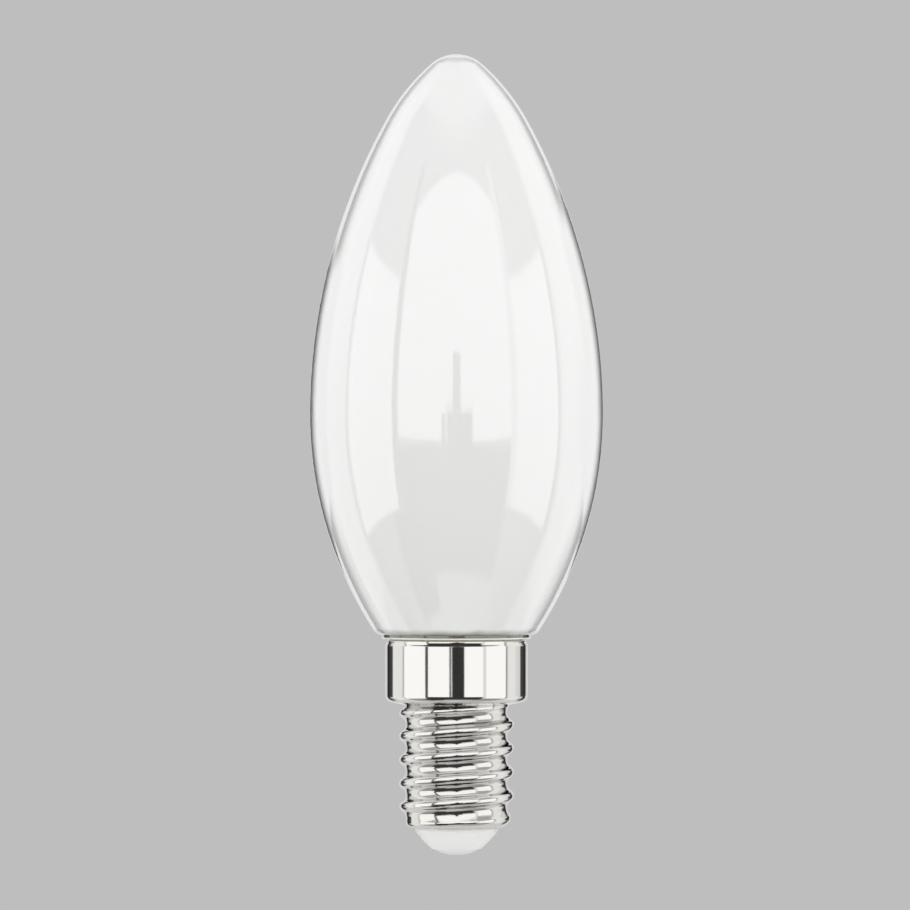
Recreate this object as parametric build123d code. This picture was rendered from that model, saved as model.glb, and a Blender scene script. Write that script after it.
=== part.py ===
from build123d import *
import os
from math import atan2, cos, degrees, pi, radians, sin, sqrt

# A candle-shaped lamp bulb with a small 14 mm screw cap, in millimetres.
# The lamp's axis is Z. Its centre contact ends at Z = 0 and the tip of the glass points up.

# Blown opal glass, with heights above the mouth of the cap
glass_height = 69.9
belly_height = 26.9
belly_diameter = 35.0
tip_radius = 4.55
tip_shoulder_radius = 24.6
tip_shoulder_angle = 49.0
foot_radius = 1.0
foot_land = 1.1
foot_rise = 0.57
foot_ring_gap = 0.08
foot_ring_overhang = 0.4
foot_ring_round = 0.2
glass_wall = 0.7
neck_fillet = 0.3
neck_depth = 5.2
neck_end_radius = 2.0

# Cement between the neck of the glass and the cap
cement_gap = 0.6
cement_depth = 4.4
cement_bead = 0.45

# Screw cap, drawn from one sheet of metal
sheet_thickness = 0.3
skirt_diameter = 17.0
skirt_height = 7.5
skirt_bend_radius = 0.5
mouth_bend_radius = 0.15
mouth_lean = 28.0
mouth_lean_length = 0.34
shoulder_slope = 12.0
shoulder_bend_radius = 0.5
shoulder_relief = 0.02
thread_major_diameter = 13.7
thread_minor_diameter = 12.1
thread_pitch = 2.822
thread_length = 14.95
thread_start_angle = -127.2
thread_root_share = 0.62
section_points = 36
shoulder_fade_length = 1.6
shoulder_fade_share = 0.05
rim_fade_length = 2.6
rim_fade_share = 0.2
rim_bend_radius = 0.55
rim_turn_in = 1.0
rim_sections = 5

# Insulator in the end of the cap
insulator_drop = 2.59
insulator_land = 0.3
insulator_round = 1.0
cone_bulge = 0.1
insulator_flange = 3.0
insulator_clearance = 0.05

# Centre contact, riveted through the insulator
contact_diameter = 5.4
contact_land = 0.2
contact_flat_diameter = 1.8
contact_height = 0.66
contact_bulge = 0.1
shank_diameter = 2.4
shank_clearance = 0.05
rivet_head_diameter = 4.0
rivet_head_height = 0.4

# Levels, from the end of the contact upwards, and the rise of the thread's top above the rim
rim_level = contact_height + insulator_drop
shoulder_level = rim_level + thread_length
mouth_level = shoulder_level + skirt_height
foot_level = mouth_level + foot_rise
foot_ring_level = mouth_level + foot_ring_gap
neck_level = mouth_level - neck_depth
belly_level = mouth_level + belly_height
tip_level = mouth_level + glass_height
flange_level = rim_level + sheet_thickness + insulator_flange
thread_top = thread_length + sheet_thickness

# Radii, those of the bends on the outside of the sheet
skirt_corner_radius = skirt_bend_radius + sheet_thickness
mouth_corner_radius = mouth_bend_radius + sheet_thickness
rim_corner_radius = rim_bend_radius + sheet_thickness
belly_radius = belly_diameter / 2
skirt_radius = skirt_diameter / 2
foot_ring_radius = skirt_radius + foot_ring_overhang
lip_edge_radius = skirt_radius - mouth_corner_radius - mouth_lean_length * sin(radians(mouth_lean))
neck_radius = skirt_radius - sheet_thickness - cement_gap
thread_root_radius = thread_minor_diameter / 2
rim_hole_radius = thread_root_radius - rim_turn_in
thread_depth = (thread_major_diameter - thread_minor_diameter) / 2
contact_radius = contact_diameter / 2
contact_flat_radius = contact_flat_diameter / 2
shank_radius = shank_diameter / 2
shank_hole_radius = shank_radius + shank_clearance
rivet_head_radius = rivet_head_diameter / 2

# Centres of the small arcs of the glass, as radius and height
tip_centre = Vector(0, tip_level - tip_radius)
tip_shoulder_way = Vector(cos(radians(tip_shoulder_angle)), sin(radians(tip_shoulder_angle)))
tip_shoulder_centre = tip_centre - tip_shoulder_way * (tip_shoulder_radius - tip_radius)
foot_centre = Vector(neck_radius + neck_fillet + foot_land, foot_level + foot_radius)
neck_fillet_centre = Vector(neck_radius + neck_fillet, foot_level - neck_fillet)
neck_end_centre = Vector(neck_radius - neck_end_radius, neck_level + neck_end_radius)


def spin(edges):
    """Solid of revolution about the lamp's axis, from a closed half section in radius and height."""
    return revolve(Plane.XZ * make_face(edges), Axis.Z)


def flank_to(corner_centre, corner_radius):
    """Arc that leaves the belly upright and runs smoothly into a smaller arc: centre, radius, end angle."""
    inward = belly_radius - corner_centre.X
    along = corner_centre.Y - belly_level
    radius = (inward**2 + along**2 - corner_radius**2) / (2 * (inward - corner_radius))
    centre = Vector(belly_radius - radius, belly_level)
    return centre, radius, degrees(atan2(along, radius - inward))


def glass_form(inset):
    """The glass as if it were solid, with its whole surface moved inwards by the inset."""
    upper_centre, upper_radius, upper_angle = flank_to(tip_shoulder_centre, tip_shoulder_radius)
    lower_centre, lower_radius, lower_angle = flank_to(foot_centre, foot_radius)
    shoulder_turn = tip_shoulder_angle - upper_angle
    tip = CenterArc(tip_centre, tip_radius - inset, tip_shoulder_angle, 90 - tip_shoulder_angle)
    tip_shoulder = CenterArc(tip_shoulder_centre, tip_shoulder_radius - inset, upper_angle, shoulder_turn)
    upper_flank = CenterArc(upper_centre, upper_radius - inset, 0, upper_angle)
    lower_flank = CenterArc(lower_centre, lower_radius - inset, lower_angle, -lower_angle)
    foot = CenterArc(foot_centre, foot_radius - inset, -90, 90 + lower_angle)
    fillet_arc = CenterArc(neck_fillet_centre, neck_fillet + inset, 90, 90)
    neck_end = CenterArc(neck_end_centre, neck_end_radius - inset, -90, 90)
    under_foot = Line(fillet_arc @ 0, foot @ 0)
    neck_side = Line(neck_end @ 1, fillet_arc @ 1)
    neck_floor = Line((0, neck_level + inset), neck_end @ 0)
    axis_line = Line((0, neck_level + inset), (0, tip_level - inset))
    sides = [tip, tip_shoulder, upper_flank, lower_flank, foot]
    return spin(sides + [under_foot, fillet_arc, neck_side, neck_end, neck_floor, axis_line])


def skirt_form(inset):
    """Skirt, leaning lip and sloping shoulder as if solid, moved inwards by the inset."""
    lean_way = Vector(sin(radians(mouth_lean)), -cos(radians(mouth_lean)))
    lip_centre = Vector(lip_edge_radius, mouth_level - mouth_corner_radius)
    lean_centre = lip_centre + lean_way * mouth_lean_length
    lip = CenterArc(lip_centre, mouth_corner_radius - inset, mouth_lean, 90 - mouth_lean)
    lean_bend = CenterArc(lean_centre, mouth_corner_radius - inset, 0, mouth_lean)
    lean = Line(lean_bend @ 1, lip @ 0)
    corner_centre = Vector(skirt_radius - skirt_corner_radius, shoulder_level + skirt_corner_radius)
    corner = CenterArc(corner_centre, skirt_corner_radius - inset, shoulder_slope - 90, 90 - shoulder_slope)
    side = Line(corner @ 1, lean_bend @ 0)
    slope = radians(shoulder_slope)
    bend_reach = thread_root_radius - shoulder_relief + shoulder_bend_radius
    bend_drop = skirt_corner_radius + shoulder_bend_radius + (corner_centre.X - bend_reach) * sin(slope)
    bend_centre = Vector(bend_reach, corner_centre.Y - bend_drop / cos(slope))
    bend = CenterArc(bend_centre, shoulder_bend_radius + inset, 90 + shoulder_slope, 90 - shoulder_slope)
    shoulder = Line(bend @ 0, corner @ 0)
    floor = Line(bend @ 1, (0, bend_centre.Y))
    top = Line(lip @ 1, (0, mouth_level - inset))
    axis_line = Line((0, mouth_level - inset), (0, bend_centre.Y))
    return spin([corner, side, lean_bend, lean, lip, top, axis_line, floor, bend, shoulder])


def thread_reach(turn, share, inset):
    """Radius of the rolled thread, its crests and roots tangent arcs, at a turn counted from a crest."""
    half_pitch = thread_pitch / 2
    depth = share * thread_depth
    both_radii = (half_pitch**2 + depth**2) / (2 * depth)
    root_radius = thread_root_share * both_radii + inset
    crest_radius = both_radii - root_radius
    from_crest = half_pitch * (1 - abs(1 - 2 * (turn % 1)))
    if from_crest < half_pitch * crest_radius / both_radii:
        crest_centre = thread_root_radius + depth - inset - crest_radius
        return crest_centre + sqrt(crest_radius**2 - from_crest**2)
    root_centre = thread_root_radius - inset + root_radius
    return root_centre - sqrt(root_radius**2 - (half_pitch - from_crest) ** 2)


def thread_section(rise, seam_rise, inset, turned_in=0):
    """Level section of the thread, with its first point where the crest is at the seam's rise."""
    from_rim = rim_fade_share + (1 - rim_fade_share) * rise / rim_fade_length
    to_top = thread_top - rise
    from_shoulder = shoulder_fade_share + (1 - shoulder_fade_share) * to_top / shoulder_fade_length
    share = min(1, from_rim, from_shoulder)
    points = []
    for step in range(section_points):
        turn = step / section_points
        reach = thread_reach(turn + (rise - seam_rise) / thread_pitch, share, inset) - turned_in
        points.append((reach * cos(2 * pi * turn), -reach * sin(2 * pi * turn)))
    seam_angle = thread_start_angle + 360 * seam_rise / thread_pitch
    return Pos(0, 0, rim_level + rise) * Rot(0, 0, seam_angle) * make_face(Spline(points, periodic=True))


def thread_form(inset):
    """Rolled thread as if solid, faded out below the shoulder and above the rounded rim."""
    corner_radius = rim_corner_radius - inset
    rim_levels = []
    for step in range(rim_sections):
        angle = pi / 2 * step / (rim_sections - 1)
        rise = rim_corner_radius - corner_radius * cos(angle)
        turned_in = corner_radius * (1 - sin(angle))
        rim_levels.append(thread_section(rise, rim_corner_radius, inset, turned_in))
    form = loft(rim_levels)
    stations = [rim_corner_radius, rim_fade_length, thread_top - shoulder_fade_length, thread_top]
    for low, high in zip(stations, stations[1:]):
        start = Pos(0, 0, rim_level + low) * Rot(0, 0, thread_start_angle + 360 * low / thread_pitch)
        path = start * Helix(thread_pitch, high - low, thread_root_radius)
        ends = [thread_section(low, low, inset), thread_section(high, high, inset)]
        form += sweep(ends, path=path, multisection=True, is_frenet=True)
    return form


# Glass envelope: one blown bulb of even wall, closed at the end of its neck, with a thicker ring at its foot.
ring_height = foot_level + glass_wall / 2 - foot_ring_level
ring_blank = Pos(0, 0, foot_ring_level + ring_height / 2) * Cylinder(foot_ring_radius, ring_height)
foot_ring = fillet(ring_blank.edges().sort_by(Axis.Z)[0], foot_ring_round)
glass_outside = glass_form(0) + foot_ring
glass_envelope = glass_outside - glass_form(glass_wall)

# Screw cap: skirt, shoulder and thread in one sheet, turned in at the mouth and under the insulator.
cap_outside = skirt_form(0) + thread_form(0)
cap_inside = skirt_form(sheet_thickness) + thread_form(sheet_thickness)
mouth_hole = Pos(0, 0, mouth_level) * Cylinder(lip_edge_radius, 2 * mouth_corner_radius)
rim_hole = Pos(0, 0, rim_level) * Cylinder(rim_hole_radius, 4 * sheet_thickness)
screw_cap = cap_outside - cap_inside - mouth_hole - rim_hole

# Cap cement: fills the space round the neck and stands as a thin bead between lip and glass.
fill_height = cement_depth - sheet_thickness
fill_place = Pos(0, 0, mouth_level - cement_depth + fill_height / 2)
cement_fill = fill_place * Cylinder(neck_radius + cement_gap, fill_height)
bead_height = sheet_thickness + foot_ring_gap
bead_place = Pos(0, 0, foot_ring_level - bead_height / 2)
cement_ring = bead_place * Cylinder(neck_radius + cement_bead, bead_height)
cap_cement = cement_fill + cement_ring - screw_cap - glass_outside

# Cap insulator: a flanged plug that sits on the turned-in rim, with a blunt cone below it.
insulator_radius = rim_hole_radius - insulator_clearance
flange_radius = thread_root_radius - sheet_thickness - insulator_clearance
seat_level = rim_level + sheet_thickness
cone_top = Vector(insulator_radius, rim_level - insulator_land)
cone_foot = Vector(contact_radius + contact_land, contact_height)
flange_corner = Vector(flange_radius, seat_level)
insulator_corners = [
    cone_foot,
    (shank_hole_radius, contact_height),
    (shank_hole_radius, flange_level),
    (flange_radius, flange_level),
    flange_corner,
    (insulator_radius, seat_level),
    cone_top,
]
cone = SagittaArc(cone_top, cone_foot, cone_bulge)
insulator_section = make_face([cone, *Polyline(*insulator_corners).edges()])
cone_shoulder = insulator_section.vertices().sort_by_distance(cone_top)[0]
insulator_section = fillet(cone_shoulder, insulator_round)
flange_edge = insulator_section.vertices().sort_by_distance(flange_corner)[0]
insulator_section = fillet(flange_edge, rim_bend_radius)
cap_insulator = revolve(Plane.XZ * insulator_section, Axis.Z)

# Centre contact: a shallow domed button, its shank clinched over the inside of the insulator.
dome = SagittaArc((contact_radius, contact_height), (contact_flat_radius, 0), contact_bulge)
contact_corners = [
    (contact_radius, contact_height),
    (shank_radius, contact_height),
    (shank_radius, flange_level),
    (rivet_head_radius, flange_level),
    (rivet_head_radius, flange_level + rivet_head_height),
    (0, flange_level + rivet_head_height),
    (0, 0),
    (contact_flat_radius, 0),
]
centre_contact = spin([dome, *Polyline(*contact_corners).edges()])

pieces = {
    "glass_envelope": glass_envelope,
    "cap_cement": cap_cement,
    "screw_cap": screw_cap,
    "cap_insulator": cap_insulator,
    "centre_contact": centre_contact,
}
os.makedirs("parts", exist_ok=True)
for name, piece in pieces.items():
    export_step(piece, f"parts/{name}.step")
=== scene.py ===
import bpy
import math
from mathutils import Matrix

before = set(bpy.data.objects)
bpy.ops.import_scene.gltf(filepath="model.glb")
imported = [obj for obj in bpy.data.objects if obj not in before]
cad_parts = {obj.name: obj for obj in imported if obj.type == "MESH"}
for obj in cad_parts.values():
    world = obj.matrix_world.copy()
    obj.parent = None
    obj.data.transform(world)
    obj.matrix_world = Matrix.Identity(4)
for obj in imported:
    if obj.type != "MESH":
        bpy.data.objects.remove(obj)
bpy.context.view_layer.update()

# Screw cap: skirt, shoulder and thread in one piece of thin brass, drawn, then rolled, then nickel plated.
# Drawing leaves faint upright lines. The plating stays bright on the crests of the thread, where the lamp
# holder rubs it, and goes a little dull in the roots. Its skin flares a trace below the lip.
millimetre = 0.001
thread_root_radius = 6.05 * millimetre
thread_crest_radius = 6.85 * millimetre
skirt_foot_level = 18.2 * millimetre
skirt_start_level = 18.6 * millimetre
nickel_bright = (0.610, 0.602, 0.580, 1)
nickel_dull = (0.580, 0.570, 0.545, 1)
least_tarnish = 0.35
drawn_radius = 6.5 * millimetre
drawn_line_width = 0.12 * millimetre
drawn_line_upright = 0.02
drawn_line_depth = 0.0006 * millimetre
haze_size = 2.5 * millimetre
haze_depth = 0.0012 * millimetre
bend_start = 24.97 * millimetre
bend_end = 25.16 * millimetre
lip_start = 25.38 * millimetre
lip_end = 25.62 * millimetre
bend_slope = 0.25
bend_slope_gain = 0.35
lean_slope = 0.95
lip_slope = 0.6


class Wire:
    """One output in a node tree. Sums of wires and numbers add Math nodes to that tree."""

    def __init__(self, tree, socket=None):
        self.tree = tree
        self.socket = socket

    def node(self, kind, settings=None, sockets=None, out=0):
        """Adds a node: first its settings, then a number, a colour or a wire for each socket named."""
        made = self.tree.nodes.new(kind)
        for name, value in (settings or {}).items():
            setattr(made, name, value)
        for name, value in (sockets or {}).items():
            if isinstance(value, Wire):
                self.tree.links.new(value.socket, made.inputs[name])
            else:
                made.inputs[name].default_value = value
        return Wire(self.tree, made.outputs[out] if made.outputs else None)

    def math(self, operation, *values):
        """A Math node on the given values, or on this wire where none are given."""
        return self.node("ShaderNodeMath", {"operation": operation}, dict(enumerate(values or [self])))

    def __add__(self, other):
        return self.math("ADD", self, other)

    def __radd__(self, other):
        return self.math("ADD", other, self)

    def __sub__(self, other):
        return self.math("SUBTRACT", self, other)

    def __rsub__(self, other):
        return self.math("SUBTRACT", other, self)

    def __mul__(self, other):
        return self.math("MULTIPLY", self, other)

    def __rmul__(self, other):
        return self.math("MULTIPLY", other, self)

    def __truediv__(self, other):
        return self.math("DIVIDE", self, other)

    def rise(self, low, high):
        """0 below the low value, 1 above the high one, with a soft step between."""
        span = {"Value": self, "From Min": low, "From Max": high}
        return self.node("ShaderNodeMapRange", {"interpolation_type": "SMOOTHSTEP"}, span)

    def within(self, low, high):
        """This value, held between two limits."""
        return self.node("ShaderNodeClamp", {}, {"Value": self, "Min": low, "Max": high})

    def axes(self):
        """The three parts of a vector, each as a wire."""
        split = self.node("ShaderNodeSeparateXYZ", {}, {0: self}).socket.node
        return [Wire(self.tree, part) for part in split.outputs]

    def stretch(self, x, y, z):
        """A vector with each of its parts multiplied."""
        return self.node("ShaderNodeVectorMath", {"operation": "MULTIPLY"}, {0: self, 1: (x, y, z)})

    def cloud(self, size, detail, roughness=0.5):
        """Even noise about 0.5 with spots of about the given size in metres."""
        sockets = {"Vector": self, "Scale": 1 / size, "Detail": detail, "Roughness": roughness}
        return self.node("ShaderNodeTexNoise", {}, sockets)

    def blend(self, first, second):
        """The first colour where this mask is 0 and the second where it is 1."""
        return self.node("ShaderNodeMix", {"data_type": "RGBA"}, {0: self, 6: first, 7: second}, 2)

    def bump(self, depth=1.0):
        """A surface normal that follows this height, which is in metres or in parts of the given depth."""
        return self.node("ShaderNodeBump", {}, {"Height": self, "Distance": depth, "Strength": 1.0})


def start_finish(name):
    """An empty material, and the wire that carries the place on the piece in metres."""
    finish = bpy.data.materials.new(name)
    finish.use_nodes = True
    finish.node_tree.nodes.clear()
    return finish, Wire(finish.node_tree).node("ShaderNodeTexCoord", out="Object")


def put_on(piece, finish, shader):
    """Closes a material with its shader and puts it in each slot of a piece, or in a first one."""
    shader.node("ShaderNodeOutputMaterial", {}, {"Surface": shader})
    if not piece.material_slots:
        piece.data.materials.append(finish)
    for slot in piece.material_slots:
        slot.material = finish


finish, place = start_finish("bright_nickel")
x, y, z = place.axes()
radius = (x * x + y * y).math("SQRT")
angle = x.math("ARCTAN2", y, x)
crest = radius.rise(thread_root_radius, thread_crest_radius)
root = (1 - crest) * (1 - z.rise(skirt_foot_level, skirt_start_level))
around = {0: angle * drawn_radius, 1: radius, 2: z * drawn_line_upright}
drawn_lines = place.node("ShaderNodeCombineXYZ", {}, around).cloud(drawn_line_width, 3)
haze = place.cloud(haze_size, 4)
tarnish = root * (least_tarnish + (1 - least_tarnish) * haze)
bend = z.within(bend_start, bend_end) - bend_start
lean = z.within(bend_end, lip_start) - bend_end
lip = z.within(lip_start, lip_end) - lip_start
bend_steepness = bend_slope + bend_slope_gain * bend / (bend_end - bend_start)
flare = bend_steepness * bend + lean_slope * lean + lip_slope * lip
relief = drawn_line_depth * drawn_lines + haze_depth * haze + flare
put_on(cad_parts["screw_cap"], finish, place.node("ShaderNodeBsdfPrincipled", {}, {
    "Base Color": tarnish.blend(nickel_bright, nickel_dull), "Metallic": 1.0,
    "Roughness": 0.040 + 0.03 * haze + 0.025 * drawn_lines + 0.03 * tarnish,
    "Normal": relief.bump()}))

# Cap insulator: the white cone in the end of the cap, a moulded plug that keeps the contact off the thread.
# It is pressed into the turned-in rim before the contact is riveted through it.
insulator_white = (0.865, 0.865, 0.860, 1)
insulator_mottle_and_painted_shade = (0.800, 0.796, 0.785, 1)
rim_shade_start = 2.5 * millimetre
rim_shade_end = 3.3 * millimetre
mottle_size = 0.9 * millimetre
grain_size = 0.08 * millimetre
grain_depth = 0.002 * millimetre
light_depth = 0.6 * millimetre
finish, place = start_finish("moulded_insulator")
x, y, z = place.axes()
mottle = place.cloud(mottle_size, 4)
grain = place.cloud(grain_size, 2)
# Painted shade: the cone is coloured darker towards the rim of the cap, while the mottle is its own random
# tone.
painted_rim_shade = z.rise(rim_shade_start, rim_shade_end)
put_on(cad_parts["cap_insulator"], finish, place.node("ShaderNodeBsdfPrincipled", {}, {
    "Base Color": (0.3 * mottle + 0.6 * painted_rim_shade).blend(insulator_white, insulator_mottle_and_painted_shade),
    "Roughness": 0.30 + 0.12 * mottle, "IOR": 1.5,
    "Subsurface Weight": 0.15, "Subsurface Radius": (1, 1, 1), "Subsurface Scale": light_depth,
    "Normal": grain.bump(grain_depth)}))

# Centre contact: a shallow button of nickel-plated brass, turned, with its shank clinched in the insulator.
# Turning leaves fine rings, and the tongue of the lamp holder scuffs the middle.
contact_bright = (0.840, 0.836, 0.825, 1)
contact_scuffed = (0.770, 0.755, 0.725, 1)
ring_pitch = 0.09 * millimetre
ring_depth = 0.0008 * millimetre
scratch_length = 0.25 * millimetre
scratch_fineness = 6
scuff_full_radius = 0.3 * millimetre
scuff_end_radius = 1.3 * millimetre
finish, place = start_finish("turned_contact")
x, y, z = place.axes()
radius = (x * x + y * y).math("SQRT")
rings = 0.5 + 0.5 * (radius * (2 * math.pi / ring_pitch)).math("SINE")
scratches = place.stretch(1, scratch_fineness, 1).cloud(scratch_length, 4)
scuff = (1 - radius.rise(scuff_full_radius, scuff_end_radius)) * scratches
put_on(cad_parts["centre_contact"], finish, place.node("ShaderNodeBsdfPrincipled", {}, {
    "Base Color": scuff.blend(contact_bright, contact_scuffed), "Metallic": 1.0,
    "Roughness": 0.28 + 0.10 * scratches + 0.12 * scuff,
    "Normal": (rings + scratches).bump(ring_depth)}))

# Cap cement: baked resin with chalk, a ring that holds the neck of the glass in the mouth of the cap.
# A thin tan bead of it shows under the foot of the glass.
cement_tan = (0.520, 0.465, 0.380, 1)
cement_pale = (0.700, 0.650, 0.560, 1)
lump_size = 0.35 * millimetre
lump_depth = 0.05 * millimetre
finish, place = start_finish("baked_cement")
lumps = place.cloud(lump_size, 5, 0.65)
put_on(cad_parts["cap_cement"], finish, place.node("ShaderNodeBsdfPrincipled", {}, {
    "Base Color": lumps.blend(cement_tan, cement_pale), "Roughness": 0.70 + 0.2 * lumps,
    "Normal": lumps.bump(lump_depth)}))

# Glass envelope: one blown bulb with a milk-white coat all over its inside and a clear gloss outside.
# The coat thins out just above the foot, where painted shade colours the glass dark taupe against the cap,
# and a painted highlight colours its clear edge pale cream.
coat_white = (0.804, 0.804, 0.798, 1)
coat_thin = (0.784, 0.786, 0.780, 1)
coat_start = 26.32 * millimetre
coat_full = 27.42 * millimetre
coat_waver = 0.5 * millimetre
coat_waver_length = 3 * millimetre
clouding_size = 9 * millimetre
foot_painted_shade = (0.155, 0.143, 0.110, 1)
foot_painted_highlight = (0.950, 0.945, 0.880, 1)
foot_edge_low = 25.89 * millimetre
foot_edge_high = 25.99 * millimetre
blown_wave_length = 14 * millimetre
blown_wave_depth = 0.01 * millimetre
finish, place = start_finish("opal_glass")
x, y, z = place.axes()
clouding = place.stretch(1, 1, 0.5).cloud(clouding_size, 3)
coat = clouding.blend(coat_white, coat_thin)
# Painted shade: dark taupe where the coat thins above the foot.
bare_foot_painted_shade = 1 - (z + coat_waver * place.cloud(coat_waver_length, 2)).rise(coat_start, coat_full)
# Painted highlight: pale cream along the bottom edge of the glass.
edge = 1 - z.rise(foot_edge_low, foot_edge_high)
blown_wave = place.cloud(blown_wave_length, 1)
put_on(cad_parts["glass_envelope"], finish, place.node("ShaderNodeBsdfPrincipled", {}, {
    "Base Color": edge.blend(bare_foot_painted_shade.blend(coat, foot_painted_shade), foot_painted_highlight),
    "Roughness": 0.05 + 0.02 * clouding, "IOR": 1.52,
    "Coat Weight": 1.0, "Coat Roughness": 0.03, "Coat IOR": 1.62,
    "Normal": blown_wave.bump(blown_wave_depth)}))

# Floor: a plain sheet of pale paper, well below the bulb, which stands free in the air above it.
# It thins out towards its edge and so runs into the backdrop, and metal and glass don't mirror it.
floor_level = -50 * millimetre
floor_width = 1.6
floor_squares = 32
floor_fade_start = 0.25
floor_fade_end = 0.75
floor_grey = (0.860, 0.860, 0.855, 1)
bpy.ops.object.select_all(action="DESELECT")
bpy.ops.mesh.primitive_grid_add(
    x_subdivisions=floor_squares, y_subdivisions=floor_squares, size=floor_width)
floor = bpy.context.object
floor.name = "pale_floor"
bpy.ops.transform.translate(value=(0, 0, floor_level))
bpy.ops.object.transform_apply(location=True)
finish, place = start_finish("pale_paper")
x, y, z = place.axes()
fade = (x * x + y * y).math("SQRT").rise(floor_fade_start, floor_fade_end)
paper = place.node("ShaderNodeBsdfDiffuse", {}, {"Color": floor_grey})
clear = place.node("ShaderNodeBsdfTransparent")
put_on(floor, finish, place.node("ShaderNodeMixShader", {}, {0: fade, 1: paper, 2: clear}))
floor.visible_glossy = False

# Edge cards: one at each side behind the bulb, black near it and shading to white away from it.
# Only their reflections show, as the dark line along the edge of the glass at the height of its belly.
card_distance = 60 * millimetre
card_inner_edge = 24 * millimetre
card_outer_edge = 114 * millimetre
card_width = card_outer_edge - card_inner_edge
card_black_edge = 35 * millimetre
card_white_edge = 68 * millimetre
card_foot = 25.5 * millimetre
card_foot_fade = 3 * millimetre
card_tops = {"left": 80 * millimetre, "right": 91 * millimetre}
card_top_fade = 8 * millimetre
card_top_slope = 0.25
for side, card_top in card_tops.items():
    sign = -1 if side == "left" else 1
    card_height = card_top + card_top_slope * card_width - card_foot
    bpy.ops.object.select_all(action="DESELECT")
    bpy.ops.mesh.primitive_grid_add(x_subdivisions=2, y_subdivisions=2, size=1)
    card = bpy.context.object
    card.name = side + "_edge_card"
    bpy.ops.transform.rotate(value=math.radians(90), orient_axis="X", center_override=(0, 0, 0))
    bpy.ops.transform.resize(value=(card_width, 1, card_height))
    middle = sign * (card_inner_edge + card_outer_edge) / 2
    bpy.ops.transform.translate(value=(middle, card_distance, card_foot + card_height / 2))
    bpy.ops.object.transform_apply()
    finish, place = start_finish(side + "_edge_card")
    x, y, z = place.axes()
    aside = x.math("ABSOLUTE")
    shade = aside.rise(card_black_edge, card_white_edge)
    level = z - card_top_slope * (aside - card_inner_edge)
    above_foot = z.rise(card_foot, card_foot + card_foot_fade)
    below_top = 1 - level.rise(card_top - card_top_fade, card_top)
    solid = above_foot * below_top
    clear = place.node("ShaderNodeBsdfTransparent")
    glow = place.node("ShaderNodeEmission", {}, {"Color": shade, "Strength": 1.0})
    put_on(card, finish, place.node("ShaderNodeMixShader", {}, {0: solid, 1: clear, 2: glow}))
    card.visible_camera = False
    card.visible_diffuse = False
    card.visible_shadow = False

# Studio: bright and dark screens all round, which the metal and the glass mirror, and behind the bulb a lit
# opening in a dark hoop, which draws the edges of cap and glass. The camera sees an even grey backdrop.
# A screen is given by its left, right, low and high edge in degrees, its softness and its brightness.
half_turn = 180
ceiling_light = 1.07
screens = [
    (-180, 180, -90, -28, 4, 0.95),
    (-180, 180, -28, -16, 3, 0.80),
    (-97, 92, 10, 56, 6, 0.60),
    (-94, 90, -90, -56, 4, 0.55),
    (-94, 90, -56, -8, 4, 0.45),
    (-60, 44, -90, -58, 3, 0.85),
    (-60, 44, -58, -8, 3, 0.06),
    (-26, 50, -62, -47, 2, 0.65),
    (-94, -52, -25, 24, 1.0, 1.55),
    (49, 88, -25, 24, 1.0, 1.55),
    (-52, -47, -25, 46, 0.5, 0.12),
    (44, 49, -25, 46, 0.8, 1.10),
    (-126.5, -98, -35, 60, 1.2, 1.26),
    (94, 126, -35, 60, 1.2, 1.26),
    (-126.5, -98, -7, 7, 2.5, 1.22),
    (94, 126, -7, 7, 2.5, 1.24),
    (112, 128, -7, 7, 6, 1.03),
    (-150, -126.5, -8, 8, 2.5, 0.09),
    (126.5, 148, -8, 8, 2.5, 0.09),
    (-98.5, -95, -25, 24, 0.5, 0.70),
    (87.5, 91, -25, 24, 0.5, 0.50),
]
flat_front_screens = [
    (-47, 44, -8, 48, 0.8, 1.55),
    (-7.4, 12.6, -14, 2, 0.8, 0.045),
    (-11.6, -8.4, -14, -0.4, 0.4, 0.15),
    (-3, 3.5, 1, 12, 0.8, 0.10),
]
hoop_half_width = 27
hoop_half_height = 50
hoop_inner_edge = (0.95, 1.05)
hoop_outer_edge = (1.3, 1.9)
hoop_foot = (-32, -24)
hoop_dark = 0.04
backlight = 0.82
backdrop_grey = 0.515


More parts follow.
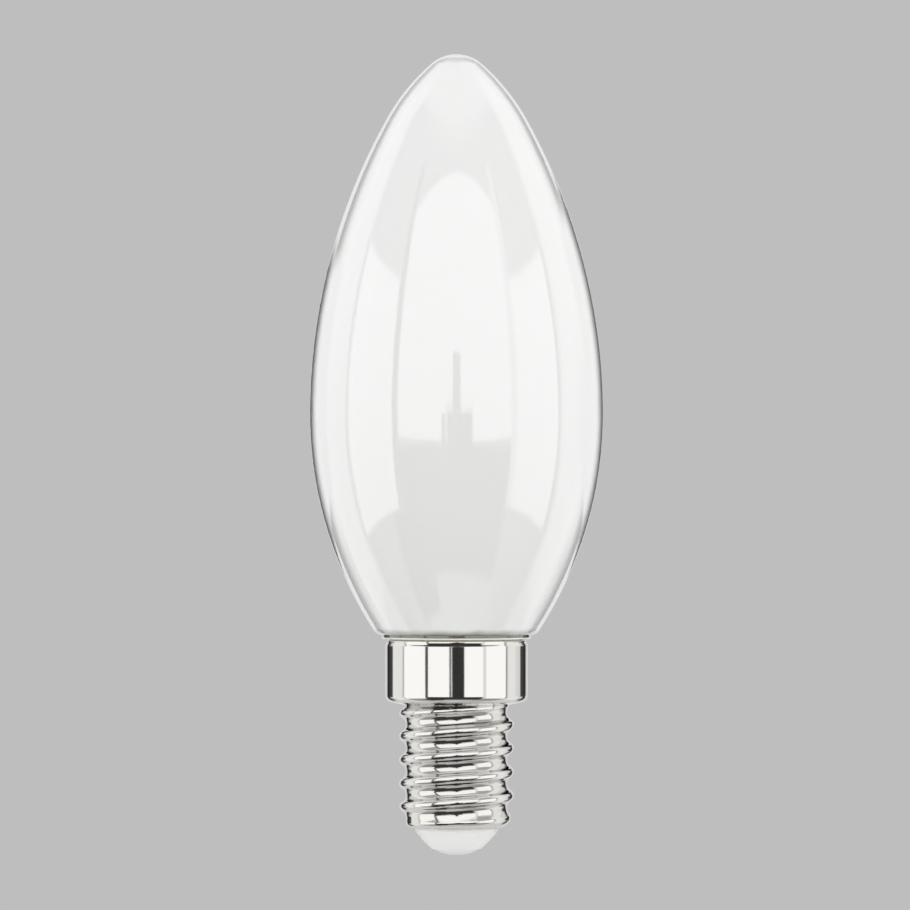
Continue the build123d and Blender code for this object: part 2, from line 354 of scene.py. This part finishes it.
def band(angle, low, high, soft):
    """1 between two angles and 0 outside them, with soft edges."""
    return angle.rise(low - soft, low + soft) * (1 - angle.rise(high - soft, high + soft))


world = bpy.data.worlds.new("studio")
world.use_nodes = True
world.node_tree.nodes.clear()
direction = Wire(world.node_tree).node("ShaderNodeTexCoord", out="Generated")
x, y, z = direction.axes()
forward = 0 - y
across = x.math("ARCTAN2", x, forward) * math.degrees(1)
up = z.math("ARCSINE") * math.degrees(1)
up_in_front = z.math("ARCTAN2", z, forward) * math.degrees(1)
light = ceiling_light
for height, panels in ((up, screens), (up_in_front, flat_front_screens)):
    for left, right, low, high, soft, brightness in panels:
        screen = band(height, low, high, soft)
        if right - left < 2 * half_turn:
            screen = screen * band(across, left, right, soft)
        light = light + screen * (brightness - light)
off_centre = (half_turn - across.math("ABSOLUTE")) / hoop_half_width
off_level = up / hoop_half_height
hoop = (off_centre * off_centre + off_level * off_level).math("SQRT")
outside = hoop.rise(*hoop_inner_edge)
rim = outside * (1 - hoop.rise(*hoop_outer_edge)) * up.rise(*hoop_foot)
light = light + rim * (hoop_dark - light)
light = light + (1 - outside) * (backlight - light)
seen = direction.node("ShaderNodeLightPath", out="Is Camera Ray")
light = light + seen * (backdrop_grey - light)
sky = direction.node("ShaderNodeBackground", {}, {"Color": light, "Strength": 1.0})
sky.node("ShaderNodeOutputWorld", {}, {"Surface": sky})
bpy.context.scene.world = world

# Camera: level with the middle of the bulb and well back, so that the view is almost parallel.
# The picture keeps the colours as they are lit, with no film look over them.
camera_distance = 1.2
frame_width = 108.71 * millimetre
eye_level = 47.72 * millimetre
eye_aside = -0.18 * millimetre
sensor_width = 36
camera_data = bpy.data.cameras.new("studio_camera")
camera_data.sensor_width = sensor_width
camera_data.lens = sensor_width * camera_distance / frame_width
camera = bpy.data.objects.new("studio_camera", camera_data)
camera.location = (eye_aside, -camera_distance, eye_level)
camera.rotation_euler = (math.radians(90), 0, 0)
bpy.context.collection.objects.link(camera)
bpy.context.scene.camera = camera
bpy.context.scene.view_settings.view_transform = "Standard"
